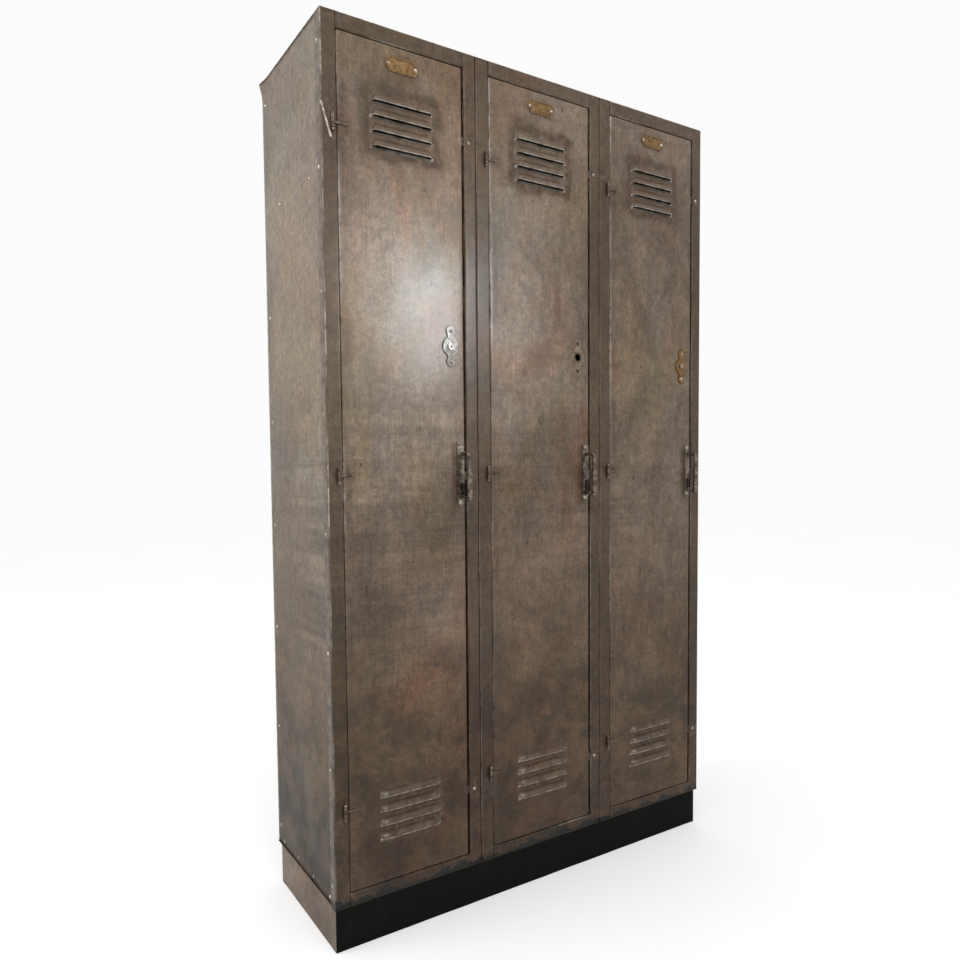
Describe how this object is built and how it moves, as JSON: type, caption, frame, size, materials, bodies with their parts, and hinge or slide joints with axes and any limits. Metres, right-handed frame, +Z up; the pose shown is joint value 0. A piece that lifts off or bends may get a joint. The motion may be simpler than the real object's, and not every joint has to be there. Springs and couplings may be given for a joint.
{
  "type": "school locker",
  "caption": "Bank of tall steel school lockers side by side on a low plinth, with hinged louvred doors, number plates, lift-to-open pull handles, hat shelves and coat hooks.",
  "frame": {"origin": "centre of the footprint box, on the floor under the plinth", "axes": "+Z up, +X to the viewer's right along the bank, +Y from the doors to the back"},
  "size_m": [0.9178, 0.3318, 1.6002],
  "materials": {
    "bare_sheet_steel": "worn bare sheet, clear lacquered",
    "frame_steel": "worn bare rolled steel with bright edges",
    "door_steel": "stripped and brushed, rust marks, clear lacquered",
    "black_paint": "matte black, brushed on",
    "hinge_steel": "worn",
    "handle_steel": "polished by hands",
    "latch_steel": "dull",
    "rivet_steel": "dull",
    "brass": "aged",
    "lock_brass": "aged",
    "lock_steel": "worn",
    "plug_steel": "worn bright"
  },
  "bodies": {
    "cabinet": {"back_panel_1": "bare_sheet_steel", "back_panel_2": "bare_sheet_steel", "back_panel_3": "bare_sheet_steel", "bottom_rail_1": "frame_steel", "bottom_rail_2": "frame_steel", "bottom_rail_3": "frame_steel", "coat_hooks": "latch_steel", "floor_panel": "bare_sheet_steel", "frame_rivets": "rivet_steel", "hat_shelf_1": "bare_sheet_steel", "hat_shelf_2": "bare_sheet_steel", "hat_shelf_3": "bare_sheet_steel", "hinge_frame_knuckles": "hinge_steel", "hinge_jamb_1": "frame_steel", "hinge_jamb_2": "frame_steel", "hinge_jamb_3": "frame_steel", "hinge_pins": "hinge_steel", "latch_catches": "latch_steel", "latch_jamb_1": "frame_steel", "latch_jamb_2": "frame_steel", "latch_jamb_3": "frame_steel", "left_side_panel": "bare_sheet_steel", "partition_1": "bare_sheet_steel", "partition_2": "bare_sheet_steel", "plinth_front": "black_paint", "plinth_left": "bare_sheet_steel", "plinth_rear": "bare_sheet_steel", "plinth_right": "bare_sheet_steel", "right_side_panel": "bare_sheet_steel", "top_panel": "bare_sheet_steel", "top_rail_1": "frame_steel", "top_rail_2": "frame_steel", "top_rail_3": "frame_steel"},
    "door_1": {"door_panel_1": "door_steel", "number_plate_1": "brass", "hinge_straps_1": "hinge_steel", "pull_handle_1": "handle_steel", "door_rivets_1": "rivet_steel", "lock_escutcheon_1": "lock_steel"},
    "latch_1": {"lift_sleeve_1": "handle_steel", "lock_bar_1": "latch_steel"},
    "door_2": {"door_panel_2": "door_steel", "number_plate_2": "brass", "hinge_straps_2": "hinge_steel", "pull_handle_2": "handle_steel", "door_rivets_2": "rivet_steel"},
    "latch_2": {"lift_sleeve_2": "handle_steel", "lock_bar_2": "latch_steel"},
    "door_3": {"door_panel_3": "door_steel", "number_plate_3": "brass", "hinge_straps_3": "hinge_steel", "pull_handle_3": "handle_steel", "door_rivets_3": "rivet_steel", "lock_escutcheon_3": "lock_brass"},
    "latch_3": {"lift_sleeve_3": "handle_steel", "lock_bar_3": "latch_steel"},
    "lock_1": {"lock_plug_1": "plug_steel", "lock_cam_1": "lock_steel"},
    "lock_3": {"lock_plug_3": "plug_steel", "lock_cam_3": "lock_steel"}
  },
  "joints": [
    {"name": "door_1_swing", "type": "hinge", "parent": "cabinet", "child": "door_1", "pos_m": [-0.4377, -0.1429, 0.832], "axis": [0, 0, -1], "range_deg": [0, 180]},
    {"name": "latch_1_lift", "type": "slide", "parent": "door_1", "child": "latch_1", "axis": [0, 0, 1], "range_m": [0, 0.019]},
    {"name": "door_2_swing", "type": "hinge", "parent": "cabinet", "child": "door_2", "pos_m": [-0.1329, -0.1429, 0.832], "axis": [0, 0, -1], "range_deg": [0, 140]},
    {"name": "latch_2_lift", "type": "slide", "parent": "door_2", "child": "latch_2", "axis": [0, 0, 1], "range_m": [0, 0.019]},
    {"name": "door_3_swing", "type": "hinge", "parent": "cabinet", "child": "door_3", "pos_m": [0.1719, -0.1429, 0.832], "axis": [0, 0, -1], "range_deg": [0, 140]},
    {"name": "latch_3_lift", "type": "slide", "parent": "door_3", "child": "latch_3", "axis": [0, 0, 1], "range_m": [0, 0.019]},
    {"name": "lock_1_turn", "type": "hinge", "parent": "door_1", "child": "lock_1", "pos_m": [-0.2132, -0.1389, 1.066], "axis": [0, 1, 0], "range_deg": [0, 90]},
    {"name": "lock_3_turn", "type": "hinge", "parent": "door_3", "child": "lock_3", "pos_m": [0.3964, -0.1389, 1.066], "axis": [0, 1, 0], "range_deg": [0, 90]}
  ]
}
